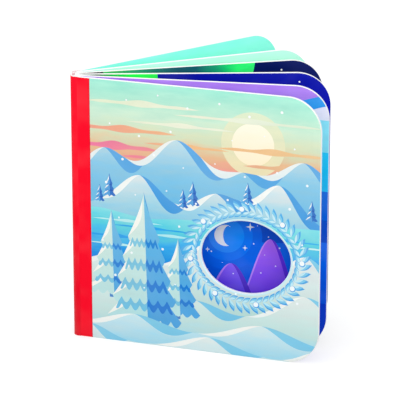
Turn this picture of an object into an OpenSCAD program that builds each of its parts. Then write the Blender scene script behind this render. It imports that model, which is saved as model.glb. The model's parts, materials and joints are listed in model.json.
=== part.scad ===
// Children's board book that stands open like a fan: two hinged covers, a wrapped spine
// and a block of stiff inner leaves that is glued along its root.
// +Z runs up from the tail edges, +X from the spine to the fore edge, +Y from front cover to back cover.
// The origin is the foot of the line on which all the leaves fan, at the middle of the block.

/* [Leaves] */
// Width of the closed book, from the face of the spine to the fore edge
book_w = 150; // [120:1:200]
// Height of every leaf
book_h = 159; // [120:1:210]
// Thickness of one board leaf
leaf_t = 2; // [1.6:0.1:2.6]
// Gap between neighbouring inner leaves at their roots
root_gap = 0.6; // [0.4:0.1:1.5]
// Radius of the two corners at the fore edge
corner_r = 20; // [4:1:30]

/* [Fan] */
// Angle of the front cover towards the reader, from the line square to the spine
front_angle = 18.9; // [10:0.1:40]
// Angle between the front cover and the first inner leaf
front_gap_angle = 9.3; // [4:0.1:20]
// Angles between neighbouring inner leaves, from front to back
leaf_gap_angles = [11.1, 11, 9.1]; // [4:0.1:14]
// Angle between the last inner leaf and the back cover
back_gap_angle = 15.4; // [4:0.1:30]

/* [Window] */
// Width of the oval die cut in the front cover
window_w = 54; // [20:1:70]
// Height of the oval die cut
window_h = 44; // [20:1:70]
// Board left between the oval and the fore edge
window_margin = 17; // [10:1:30]
// Height of the oval's centre above the tail edge
window_z = 61; // [40:1:80]

/* [Spine] */
// Outer radius of the two long corners of the spine
spine_r = 4; // [3.4:0.1:5]
// Thickness of the wrap over the spine
wrap_t = 0.9; // [0.6:0.1:1.2]
// Depth of the hollow between the wrap and the glued roots
hollow_d = 1.5; // [0.8:0.1:1.8]
// Width of each glue strip beside the hollow
glue_w = 1; // [0.6:0.1:1.6]
// Depth of glue in front of the line on which the leaves fan
gutter_d = 0.5; // [0.3:0.1:1.5]
// Distance that the glue stops short of the head of the leaves
head_gap = 0.4; // [0.2:0.1:2]

/* [Creases] */
// Width of the crease between the wrap and a cover board
crease_gap = 0.3; // [0.2:0.05:0.5]
// Room between a closed cover and the nearest leaf at the root
cover_room = 0.6; // [0.5:0.1:1.5]

/* [Hidden] */
$fn = 96;
// Overshoot of a cut past the face that it starts from
overcut = 0.5;
leaf_count = len(leaf_gap_angles) + 1;
root_pitch = leaf_t + root_gap;
block_t = leaf_count * leaf_t + (leaf_count - 1) * root_gap;
spine_w = block_t + 2 * (leaf_t + cover_room);
leaf_l = book_w - spine_r;
// Both crease lines lie just outside the closed book, so that a cover folds right back
crease_y = (spine_w + crease_gap) / 2;
cover_l = leaf_l - crease_gap / 2;
// Centre of the oval from the front crease
window_x = leaf_l - window_margin - window_w / 2;
wrap_in_r = spine_r - wrap_t;
// The glued heel of the block fills the flat middle of the wrap
heel_w = spine_w - 2 * spine_r;
hollow_w = heel_w - 2 * glue_w;
// Each leaf reaches halfway into the glue between the fan line and the hollow
root_in = (wrap_in_r - hollow_d) / 2;

// Sum of the first n values of a list
function sum_first(list, n) = n <= 0 ? 0 : list[n - 1] + sum_first(list, n - 1);
// Angle of inner leaf i towards the reader
function leaf_angle(i) = front_angle - front_gap_angle - sum_first(leaf_gap_angles, i);
back_angle = leaf_angle(leaf_count - 1) - back_gap_angle;

// Outline of a board with square corners at its root and round ones at the fore edge
module board_outline(length) {
    straight_l = length - corner_r;
    square([straight_l, book_h]);
    translate([straight_l, corner_r])
        square([corner_r, book_h - 2 * corner_r]);
    for (z = [corner_r, book_h - corner_r])
        translate([straight_l, z])
            circle(corner_r);
}

// Board that stands on its tail edge with its root at the origin and its front face on Y = 0
module board(length) {
    translate([0, leaf_t, 0])
        rotate([90, 0, 0])
            linear_extrude(leaf_t)
                board_outline(length);
}

// Oval hole through a board whose root lies on the front crease
module window_cut() {
    translate([window_x, leaf_t + crease_gap + overcut, window_z])
        rotate([90, 0, 0])
            linear_extrude(leaf_t + crease_gap + 2 * overcut)
                scale([window_w / 2, window_h / 2])
                    circle(1);
}

// Section of a spine with two round corners, open towards the leaves
module spine_section(radius, width) {
    translate([-radius, radius - width / 2])
        square([radius, width - 2 * radius]);
    for (side = [-1, 1])
        translate([0, side * (width / 2 - radius)])
            circle(radius);
}

// Section of the hollow between the glue strips, with round corners on its inner side
module hollow_section() {
    corner = hollow_d / 2;
    translate([-wrap_in_r - overcut, -hollow_w / 2])
        square([corner + overcut, hollow_w]);
    translate([corner - wrap_in_r, corner - hollow_w / 2])
        square([corner, hollow_w - hollow_d]);
    for (side = [-1, 1])
        translate([corner - wrap_in_r, side * (hollow_w / 2 - corner)])
            circle(corner);
}

module front_cover() {
    color([0.72, 0.88, 0.89])
        translate([0, -crease_y, 0])
            rotate([0, 0, -front_angle])
                difference() {
                    translate([crease_gap / 2, crease_gap / 2, 0])
                        board(cover_l);
                    window_cut();
                }
}

// Glued heel of the block with the hollow behind it
module heel() {
    linear_extrude(book_h - head_gap)
        difference() {
            translate([-wrap_in_r, -heel_w / 2])
                square([wrap_in_r + gutter_d, heel_w]);
            hollow_section();
        }
}

module page_block() {
    color([0.97, 0.97, 0.96])
        union() {
            heel();
            for (i = [0 : leaf_count - 1])
                translate([0, (i - (leaf_count - 1) / 2) * root_pitch, 0])
                    rotate([0, 0, -leaf_angle(i)])
                        translate([-root_in, -leaf_t / 2, 0])
                            board(leaf_l + root_in);
        }
}

module spine_wrap() {
    color([0.98, 0.10, 0.18])
        linear_extrude(book_h)
            intersection() {
                difference() {
                    spine_section(spine_r, spine_w);
                    spine_section(wrap_in_r, spine_w - 2 * wrap_t);
                }
                translate([-spine_r, -spine_w / 2])
                    square([spine_r - crease_gap / 2, spine_w]);
            }
}

module back_cover() {
    color([0.51, 0.95, 0.88])
        translate([0, crease_y, 0])
            rotate([0, 0, -back_angle])
                translate([crease_gap / 2, -crease_gap / 2 - leaf_t, 0])
                    board(cover_l);
}

front_cover();
page_block();
spine_wrap();
back_cover();
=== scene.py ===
"""Looks of a children's board book that stands open like a fan.

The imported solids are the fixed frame. Every board, the glued heel, the spine wrap and the paper at the
creases is built again here as a closed mesh in the same place, with printed faces that are cut into
fields of ink. Sheet sizes are in millimetres: x runs from the spine to the fore edge and z up from the tail.
"""

import json
import logging
import math
from collections.abc import Callable, Iterable, Sequence
from dataclasses import dataclass, field
from enum import Enum

import bpy
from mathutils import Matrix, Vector
from mathutils.geometry import delaunay_2d_cdt


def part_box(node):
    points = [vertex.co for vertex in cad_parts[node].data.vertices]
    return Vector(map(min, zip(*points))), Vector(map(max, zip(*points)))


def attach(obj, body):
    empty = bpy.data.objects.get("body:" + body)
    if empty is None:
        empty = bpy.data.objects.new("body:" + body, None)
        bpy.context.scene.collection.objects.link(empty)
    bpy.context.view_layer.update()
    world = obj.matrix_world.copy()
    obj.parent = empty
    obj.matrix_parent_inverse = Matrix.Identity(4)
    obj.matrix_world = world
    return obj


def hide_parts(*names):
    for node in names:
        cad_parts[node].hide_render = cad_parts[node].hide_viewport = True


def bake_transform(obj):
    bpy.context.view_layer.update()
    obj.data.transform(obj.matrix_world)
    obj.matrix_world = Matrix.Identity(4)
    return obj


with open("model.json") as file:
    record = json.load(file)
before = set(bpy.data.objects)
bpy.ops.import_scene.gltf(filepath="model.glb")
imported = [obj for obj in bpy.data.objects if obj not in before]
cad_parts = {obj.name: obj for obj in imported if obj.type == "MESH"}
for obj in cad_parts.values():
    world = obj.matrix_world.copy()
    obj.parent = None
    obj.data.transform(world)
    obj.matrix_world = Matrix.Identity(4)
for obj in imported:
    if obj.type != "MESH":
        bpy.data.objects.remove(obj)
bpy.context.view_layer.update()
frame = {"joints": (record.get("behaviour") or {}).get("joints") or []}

LOG = logging.getLogger("board_book")
MM = 0.001
# Map that holds the place of each corner on its sheet, in millimetres
SHEET_MAP = "sheet"
# Height and length of the sheets that the inks are mixed for
SHEET_H = 159.0
SHEET_L = 146.0
# Length and height of one blotch of the film's gloss and of one fibre of the paper
GLOSS_BLOTCH = (34.0, 26.0)
PAPER_GRAIN = (0.3, 0.3)
# Shares by which the tone of a calm ink and of snow rises and falls
CALM = 0.02
SNOWY = 0.03
# Thickness that keeps a painted patch open at its ends, in millimetres
SEAM = 0.02
# Corners of a cut face that lie nearer than this are one, in millimetres
CUT_TOLERANCE = 2e-3
# Steps that strew points evenly over a sheet, and over a range of sizes
GOLDEN_STEPS = (0.7549, 0.5698, 0.618)
# Sides of a painted flake and of a berry
FLAKE_STEPS = 14
BERRY_STEPS = 24
# Stands for the two ends of a prism among the numbers of its sides
ENDS = -1

Rgb = tuple[int, int, int]
Point = tuple[float, float]
Outline = tuple[Point, ...]
Curve = Callable[[float], float]

WHITE: Rgb = (252, 252, 250)
SNOW: Rgb = (228, 232, 233)
ICE: Rgb = (205, 221, 225)
MINT: Rgb = (160, 232, 212)
MINT_LIGHT: Rgb = (182, 235, 213)
MINT_SHADE: Rgb = (181, 216, 212)
PALE_GREEN: Rgb = (207, 237, 213)
CREAM: Rgb = (216, 225, 190)
PEACH: Rgb = (231, 187, 146)
CORAL: Rgb = (238, 150, 146)
PINK: Rgb = (238, 120, 165)
LIGHT_BLUE: Rgb = (110, 195, 230)
CYAN: Rgb = (95, 208, 224)
SKY_BLUE: Rgb = (70, 180, 235)
DEEP_BLUE: Rgb = (0, 104, 216)
NIGHT: Rgb = (2, 16, 166)
VIOLET: Rgb = (176, 130, 232)
GREEN_LIGHT: Rgb = (40, 250, 86)
AQUA: Rgb = (146, 253, 231)
RED: Rgb = (254, 12, 42)


def linear(colour: Rgb) -> tuple[float, float, float, float]:
    """Change a display colour to the linear values that a shader takes.

    Args:
        colour: red, green and blue from 0 to 255.

    Returns:
        Linear red, green, blue and an alpha of 1.
    """
    def channel(value: float) -> float:
        """Undo the display curve of one channel."""
        return value / 12.92 if value <= 0.04045 else ((value + 0.055) / 1.055) ** 2.4

    return (*(channel(part / 255) for part in colour), 1.0)


def span(start: float, stop: float, steps: int) -> list[float]:
    """Give steps + 1 even places from start to stop."""
    return [start + (stop - start) * i / steps for i in range(steps + 1)]


def part_of_one(value: float) -> float:
    """Give the part of a number after its point."""
    return value - math.floor(value)


class Graph:
    """The node tree of one material or world, filled from its shader outwards."""

    def __init__(self, owner: bpy.types.Material | bpy.types.World) -> None:
        """Empty the owner's tree.

        Args:
            owner: the material or world that the nodes belong to.
        """
        owner.use_nodes = True
        self.tree = owner.node_tree
        self.tree.nodes.clear()

    def node(self, kind: str, inputs: dict | None = None, **settings: object) -> bpy.types.Node:
        """Add one node.

        Args:
            kind: the node's type name.
            inputs: what each input takes, a socket to link or a plain value.
            **settings: properties of the node itself.

        Returns:
            The new node.
        """
        made = self.tree.nodes.new(kind)
        for name, value in settings.items():
            setattr(made, name, value)
        for name, value in (inputs or {}).items():
            if isinstance(value, bpy.types.NodeSocket):
                self.tree.links.new(value, made.inputs[name])
            else:
                made.inputs[name].default_value = value
        return made

    def math(self, operation: str, a: object, b: object = 0.0) -> bpy.types.NodeSocket:
        """Combine two numbers or sockets and give the result's socket."""
        return self.node("ShaderNodeMath", {0: a, 1: b}, operation=operation).outputs[0]

    def vector(self, operation: str, a: object, b: object) -> bpy.types.Node:
        """Combine two vectors or sockets and give the node."""
        return self.node("ShaderNodeVectorMath", {0: a, 1: b}, operation=operation)

    def noise(self, place: bpy.types.NodeSocket, size: Point, detail: float) -> bpy.types.NodeSocket:
        """Add noise around a half, whose blotches have a length and a height in millimetres."""
        scaled = self.vector("MULTIPLY", place, (1 / size[0], 1 / size[1], 1.0)).outputs[0]
        return self.node("ShaderNodeTexNoise", {"Vector": scaled, "Scale": 1.0, "Detail": detail}).outputs[0]

    def spread(self, value: bpy.types.NodeSocket, low: float, high: float) -> bpy.types.NodeSocket:
        """Stretch the middle half of a noise over low to high."""
        return self.node("ShaderNodeMapRange", {"Value": value, "From Min": 0.25, "From Max": 0.75,
                                                "To Min": low, "To Max": high}).outputs[0]

    def ramp(self, value: bpy.types.NodeSocket, colours: Sequence[tuple[float, Rgb]]) -> bpy.types.NodeSocket:
        """Add a colour ramp.

        Args:
            value: place along the ramp, from 0 to 1.
            colours: places and display colours.

        Returns:
            The colour's socket.
        """
        made = self.node("ShaderNodeValToRGB", {"Fac": value})
        stops = made.color_ramp.elements
        while len(stops) < len(colours):
            stops.new(1.0)
        for stop, (place, colour) in zip(stops, colours):
            stop.position = place
            stop.color = linear(colour)
        return made.outputs[0]


@dataclass(frozen=True)
class Film:
    """Thin satin film over the print.

    Attributes:
        specular: strength of its mirror part.
        rough: lowest and highest roughness.
        bump: depth of the paper's grain under it, in millimetres.
        lift: share of that depth that shows.
    """

    specular: float = 0.1
    rough: Point = (0.36, 0.5)
    bump: float = 0.02
    lift: float = 0.25

    def cover(self, graph: Graph, colour: bpy.types.NodeSocket, blotch: bpy.types.NodeSocket,
              grain: bpy.types.NodeSocket) -> None:
        """Finish a material with the film's shader.

        Args:
            graph: the material's nodes.
            colour: the print's colour.
            blotch: broad noise that varies the gloss.
            grain: fine noise that lifts the surface.
        """
        relief = {"Strength": self.lift, "Distance": self.bump * MM, "Height": grain}
        raised = graph.node("ShaderNodeBump", relief)
        shader = graph.node("ShaderNodeBsdfPrincipled", {
            "Base Color": colour, "Roughness": graph.spread(blotch, *self.rough),
            "Specular IOR Level": self.specular, "Normal": raised.outputs[0]})
        graph.node("ShaderNodeOutputMaterial", {"Surface": shader.outputs[0]})


@dataclass(frozen=True)
class Finish:
    """Finish that is made once and then shared by its name.

    Attributes:
        name: name of the material.
    """

    name: str

    def material(self) -> bpy.types.Material:
        """Make the material, once.

        Returns:
            The material of that name.
        """
        if self.name in bpy.data.materials:
            return bpy.data.materials[self.name]
        made = bpy.data.materials.new(self.name)
        graph = Graph(made)
        self.fill(graph, graph.node("ShaderNodeUVMap", uv_map=SHEET_MAP).outputs[0])
        return made

    def fill(self, graph: Graph, place: bpy.types.NodeSocket) -> None:
        """Add the finish's own nodes, which each kind of finish does in its way."""
        raise NotImplementedError


@dataclass(frozen=True)
class Ink(Finish):
    """Printed colour under a satin film: a ramp across the sheet with brush marks and paper grain.

    Attributes:
        colours: display colours, evenly spaced along the ramp.
        start: place on the sheet where the ramp begins, in millimetres.
        end: place where it ends.
        wander: how far the brush carries the ramp to and fro, in millimetres.
        mottle: share by which the tone rises and falls.
        stroke: length and height of a brush mark in millimetres.
    """

    colours: tuple[Rgb, ...]
    start: Point = (0.0, SHEET_H)
    end: Point = (0.0, 0.0)
    wander: float = 5.0
    mottle: float = 0.05
    stroke: Point = (20.0, 5.0)

    def fill(self, graph: Graph, place: bpy.types.NodeSocket) -> None:
        """Add the ramp, the brush marks and the film.

        Args:
            graph: the material's nodes.
            place: where on the sheet, in millimetres.
        """
        brush = graph.noise(place, self.stroke, detail=4.0)
        blotch = graph.noise(place, GLOSS_BLOTCH, detail=2.0)
        grain = graph.noise(place, PAPER_GRAIN, detail=3.0)
        across = Vector(self.end) - Vector(self.start)
        from_start = graph.vector("SUBTRACT", place, (*self.start, 0.0)).outputs[0]
        direction = across / across.length_squared
        along = graph.vector("DOT_PRODUCT", from_start, (*direction, 0.0)).outputs["Value"]
        drift = graph.spread(brush, -self.wander / across.length, self.wander / across.length)
        last = max(len(self.colours) - 1, 1)
        stops = [(i / last, colour) for i, colour in enumerate(self.colours)]
        tint = graph.ramp(graph.math("ADD", along, drift), stops)
        tone = graph.math("ADD", graph.spread(brush, 1 - self.mottle, 1 + self.mottle),
                          graph.spread(grain, -CALM, CALM))
        saturation = graph.spread(blotch, 1 - self.mottle, 1 + self.mottle)
        colour = graph.node("ShaderNodeHueSaturation", {
            "Saturation": saturation, "Value": tone, "Color": tint}).outputs[0]
        Film().cover(graph, colour, blotch, grain)


@dataclass(frozen=True)
class CutBoard(Finish):
    """Bare edge of a white board: pressed fibres with faint lines between its plies.

    Attributes:
        thickness: thickness of the board in millimetres.
        core: display colour of the fibres.
        ply: display colour of the lines between plies.
        lines: place of each line and half its width, as shares of the thickness.
        stray: how far a line strays, as a share of the thickness.
        fibre: length and height of one fibre in millimetres.
        blotch: length and height of one blotch of its gloss.
        tone: least and greatest tone of the fibres.
    """

    name: str = "cut_board"
    thickness: float = 2.0
    core: Rgb = (250, 250, 248)
    ply: Rgb = (226, 226, 222)
    lines: tuple[Point, ...] = ((0.12, 0.02), (0.5, 0.03), (0.88, 0.02))
    stray: float = 0.02
    fibre: Point = (1.6, 0.12)
    blotch: Point = (14.0, 2.0)
    tone: Point = (0.97, 1.02)

    def fill(self, graph: Graph, place: bpy.types.NodeSocket) -> None:
        """Add the fibres, the lines between the plies and a dull film.

        Args:
            graph: the material's nodes.
            place: where along the edge and across its thickness, in millimetres.
        """
        fibre = graph.noise(place, self.fibre, detail=4.0)
        blotch = graph.noise(place, self.blotch, detail=2.0)
        depth = graph.node("ShaderNodeSeparateXYZ", {0: place}).outputs["Y"]
        share = graph.math("DIVIDE", depth, self.thickness)
        stops = [(0.0, self.core)]
        for line, half in self.lines:
            stops += [(line - half, self.core), (line, self.ply), (line + half, self.core)]
        plies = graph.ramp(graph.math("ADD", share, graph.spread(fibre, -self.stray, self.stray)), stops)
        colour = graph.node("ShaderNodeHueSaturation", {
            "Value": graph.spread(fibre, *self.tone), "Color": plies}).outputs[0]
        Film(rough=(0.7, 0.85), bump=0.05).cover(graph, colour, blotch, fibre)


def wash_down(name: str, high: float, low: float, *colours: Rgb, **more: object) -> Ink:
    """Make an ink whose colours run down the sheet from one height to another."""
    return Ink(name, colours, (0.0, high), (0.0, low), **more)


def wash_out(name: str, near: float, far: float, *colours: Rgb, **more: object) -> Ink:
    """Make an ink whose colours run from a place near the spine towards the fore edge."""
    return Ink(name, colours, (near, 0.0), (far, 0.0), **more)


def between(lower: Curve, upper: Curve, start: float, stop: float, steps: int) -> Outline:
    """Outline the region between two curves.

    Args:
        lower: height of the lower edge at each place.
        upper: height of the upper edge.
        start: nearest place to the spine.
        stop: farthest place.
        steps: number of pieces along each edge.

    Returns:
        The outline, counter-clockwise.
    """
    places = span(start, stop, steps)
    below = [(x, lower(x)) for x in places]
    above = [(x, upper(x)) for x in reversed(places)]
    return (*below, *above)


def oval(x: float, z: float, half_w: float, half_h: float, steps: int = 64) -> Outline:
    """Outline an upright oval."""
    turns = span(0.0, 2 * math.pi, steps)[:-1]
    return tuple((x + half_w * math.cos(turn), z + half_h * math.sin(turn)) for turn in turns)


def disc(x: float, z: float, radius: float, steps: int = 64) -> Outline:
    """Outline a round disc."""
    return oval(x, z, radius, radius, steps)


def petal(x: float, z: float, length: float, width: float, heading: float, steps: int = 10) -> Outline:
    """Outline a pointed leaf shape.

    Args:
        x: place of its foot.
        z: height of its foot.
        length: from foot to tip.
        width: at its widest.
        heading: direction of its tip in radians, from the fore edge upwards.
        steps: number of pieces along each side.

    Returns:
        The outline, counter-clockwise.
    """
    cos, sin = math.cos(heading), math.sin(heading)
    edge = [(share, -math.sin(math.pi * share) / 2) for share in span(0.0, 1.0, steps)]
    edge += [(share, -half) for share, half in reversed(edge[1:-1])]
    return tuple((x + cos * length * a - sin * width * b, z + sin * length * a + cos * width * b)
                 for a, b in edge)


def sparkle(x: float, z: float, reach: float, waist: float = 0.28, rays: int = 4) -> Outline:
    """Outline a star whose rays alternate with a narrow waist.

    Args:
        x: place of its centre.
        z: height of its centre.
        reach: length of a ray.
        waist: radius between two rays, as a share of the reach.
        rays: number of rays.

    Returns:
        The outline, counter-clockwise.
    """
    found = []
    for i in range(2 * rays):
        radius, turn = reach * (waist if i % 2 else 1.0), math.pi * (i / rays + 0.5)
        found.append((x + radius * math.cos(turn), z + radius * math.sin(turn)))
    return tuple(found)


def crescent(x: float, z: float, radius: float, bite: float, tip: float = 70.0, steps: int = 28) -> Outline:
    """Outline a moon whose hollow side faces the fore edge.

    Args:
        x: centre of the outer arc.
        z: height of that centre.
        radius: outer radius.
        bite: how far the hollow reaches back from the tips, as a share of the radius.
        tip: direction of the upper tip in degrees, from the fore edge upwards.
        steps: number of pieces along each arc.

    Returns:
        The outline, counter-clockwise.
    """
    outer = [math.radians(turn) for turn in span(tip, 360.0 - tip, steps)]
    rim = [(x + radius * math.cos(turn), z + radius * math.sin(turn)) for turn in outer]
    tip_x, tip_z = radius * math.cos(outer[0]), radius * math.sin(outer[0])
    hollow = [(x + tip_x - bite * radius * math.cos(turn), z + tip_z * math.sin(turn))
              for turn in span(-math.pi / 2, math.pi / 2, steps)[1:-1]]
    return (*rim, *hollow)


def scatter(count: int, corner: Point, size: Point, radius: float, smallest: float = 0.45) -> list[Outline]:
    """Outline small round flakes, evenly strewn over a rectangle.

    Args:
        count: number of flakes.
        corner: lower corner of the rectangle.
        size: its width and height.
        radius: radius of the largest flake.
        smallest: radius of the smallest flake, as a share of the largest.

    Returns:
        One outline for each flake.
    """
    found = []
    for i in range(1, count + 1):
        across, up, share = (part_of_one(i * step) for step in GOLDEN_STEPS)
        flake = radius * (smallest + (1 - smallest) * share)
        found.append(disc(corner[0] + size[0] * across, corner[1] + size[1] * up, flake, FLAKE_STEPS))
    return found


def even_round(half_w: float, half_h: float, count: int, fineness: int = 720) -> list[float]:
    """Space places evenly around an oval.

    Args:
        half_w: half its width.
        half_h: half its height.
        count: number of places.
        fineness: number of short chords by which the way round is measured.

    Returns:
        The turn of each place in radians.
    """
    turns = span(0.0, 2 * math.pi, fineness)
    lengths = [0.0]
    for a, b in zip(turns, turns[1:]):
        middle = (a + b) / 2
        chord = math.hypot(half_w * math.sin(middle), half_h * math.cos(middle)) * (b - a)
        lengths.append(lengths[-1] + chord)
    found, at = [], 0
    for i in range(count):
        while lengths[at] < lengths[-1] * i / count:
            at += 1
        found.append(turns[at])
    return found


@dataclass(frozen=True)
class Streak:
    """Long thin cloud or ripple with pointed ends.

    Attributes:
        start: its end nearest the spine.
        stop: its other end.
        z: height of its middle line.
        height: thickness at the middle.
        below: share of the thickness that lies below the middle line.
        ripple: share of the thickness that comes and goes along the streak.
        ripples: how many half waves of that lie along it.
    """

    start: float
    stop: float
    z: float
    height: float
    below: float = 0.35
    ripple: float = 0.25
    ripples: int = 5

    def swell(self, x: float) -> float:
        """Give the thickness at one place.

        Args:
            x: the place.

        Returns:
            The thickness as a share of that at the middle.
        """
        share = (x - self.start) / (self.stop - self.start)
        wave = self.ripple * math.sin(self.ripples * math.pi * share)
        return math.sin(math.pi * share) * (1 - self.ripple + wave)

    def outline(self) -> Outline:
        """Outline the streak.

        Returns:
            The outline, counter-clockwise.
        """
        low, high = self.below * self.height, (1 - self.below) * self.height
        return between(lambda x: self.z - low * self.swell(x) - SEAM / 2,
                       lambda x: self.z + high * self.swell(x) + SEAM / 2, self.start, self.stop, steps=40)


@dataclass(frozen=True)
class Ridge:
    """Rolling line of hills or drifts.

    Attributes:
        base: height of the line between its hills.
        hills: place, height and half-width of each rounded hill.
        swell: height of the long wave along the line.
        period: length of that wave.
        reach: first and last place of the line.
        root: how far its body goes down below the sheet.
    """

    base: float
    hills: tuple[tuple[float, float, float], ...] = ()
    swell: float = 0.0
    period: float = 90.0
    reach: Point = (-4.0, 150.0)
    root: float = 30.0

    def top(self, x: float) -> float:
        """Give the height of the line at one place."""
        rise = sum(height * math.exp(-((x - at) / wide) ** 2) for at, height, wide in self.hills)
        return self.base + rise + self.swell * math.sin(2 * math.pi * x / self.period)

    def crest(self) -> float:
        """Give the greatest height of the line."""
        return max(self.top(x) for x in span(*self.reach, 40))

    def body(self) -> Outline:
        """Outline everything below the line."""
        floor = min(self.base, 0.0) - self.root
        return between(lambda x: floor, self.top, *self.reach, steps=150)

    def slopes(self, side: int, depth: float, length: float, hollow: float = 1.3) -> list[Outline]:
        """Outline a soft patch on one slope of each hill.

        Args:
            side: 1 for the slope towards the fore edge, -1 for the other.
            depth: thickness of the patch at its middle.
            length: its length in half-widths of the hill.
            hollow: how slowly it thickens from its ends.

        Returns:
            One outline for each hill.
        """
        found = []
        for at, _, wide in self.hills:
            start, stop = sorted((at, at + side * wide * length))

            def lower(x: float, start: float = start, stop: float = stop) -> float:
                """Give the lower edge of the patch, which meets the line at both ends."""
                share = (x - start) / (stop - start)
                return self.top(x) - SEAM - depth * math.sin(math.pi * share) ** hollow

            found.append(between(lower, self.top, start, stop, steps=36))
        return found


@dataclass(frozen=True)
class FirInks:
    """Inks of a fir: its lit and shaded halves, the shadow of each skirt on both, its snow and its trunk."""

    lit: Ink
    shaded: Ink
    lit_shadow: Ink
    deep_shadow: Ink
    snow: Ink
    trunk: Ink

    @classmethod
    def mix(cls, key: str, reach: Point, trunk: Ink, snow: tuple[Rgb, ...],
            **tones: tuple[Rgb, ...]) -> "FirInks":
        """Mix the inks of one kind of fir.

        Args:
            key: start of their names.
            reach: heights of the first and the last colour of each ink.
            trunk: ink of the trunk.
            snow: colours of the snow from top to bottom.
            **tones: colours of each other ink from top to bottom.

        Returns:
            The inks.
        """
        inks = {part: wash_down(f"{key}_{part}", *reach, *colours) for part, colours in tones.items()}
        return cls(snow=wash_down(f"{key}_snow", *reach, *snow, mottle=SNOWY), trunk=trunk, **inks)


@dataclass(frozen=True)
class Field:
    """One closed outline on a sheet and the ink that fills it."""

    outline: Outline
    ink: Ink


@dataclass
class Picture:
    """Design of one printed face, made of fields of ink with the last one on top.

    Attributes:
        ground: ink wherever no field lies.
        fields: the fields in the order of painting.
    """

    ground: Ink
    fields: list[Field] = field(default_factory=list)

    def inks(self) -> list[Ink]:
        """List the ground and each field's ink, once each."""
        return list(dict.fromkeys([self.ground, *(each.ink for each in self.fields)]))

    def paint(self, ink: Ink, *outlines: Outline) -> None:
        """Lay fields of one ink on top of what is there."""
        self.fields.extend(Field(outline, ink) for outline in outlines)

    def streaks(self, ink: Ink, *lines: tuple[float, float, float, float]) -> None:
        """Paint streaks of one ink, each given by its two ends, its height and its thickness."""
        self.paint(ink, *(Streak(*line).outline() for line in lines))

    def stars(self, ink: Ink, *stars: tuple[float, float, float]) -> None:
        """Paint stars of one ink, each given by its place, its height and the length of its rays."""
        self.paint(ink, *(sparkle(*star) for star in stars))

    def plant(self, inks: FirInks, *firs: "Fir") -> None:
        """Paint firs, from the farthest to the nearest."""
        for fir in firs:
            fir.grow(self, inks)

    def hill_line(self, ridge: Ridge, ink: Ink, *patches: tuple[int, Ink, float, float]) -> None:
        """Paint a line of hills.

        Args:
            ridge: the line.
            ink: ink of everything below it.
            *patches: which slope of each hill has a patch, as Ridge.slopes counts, and the patch's ink,
                depth and length.
        """
        self.paint(ink, ridge.body())
        for side, patch_ink, depth, length in patches:
            self.paint(patch_ink, *ridge.slopes(side, depth, length))

    def drift(self, name: str, ridge: Ridge, *colours: Rgb) -> None:
        """Paint a snow drift with a lit crest and a blue hollow.

        Args:
            name: name of its ink.
            ridge: its line.
            *colours: its colours from the crest down.
        """
        crest = ridge.crest()
        body_end, hollow_end, light_end = crest - 44, crest - 30, crest - 20
        hollow = wash_down(name + "_hollow", crest, hollow_end, (136, 206, 232), (104, 188, 228))
        light = wash_down(name + "_light", crest, light_end, (246, 247, 242), (232, 240, 238), mottle=SNOWY)
        self.hill_line(ridge, wash_down(name, crest, body_end, *colours), (1, hollow, 6, 1.5),
                       (-1, light, 3.2, 1.5))


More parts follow.
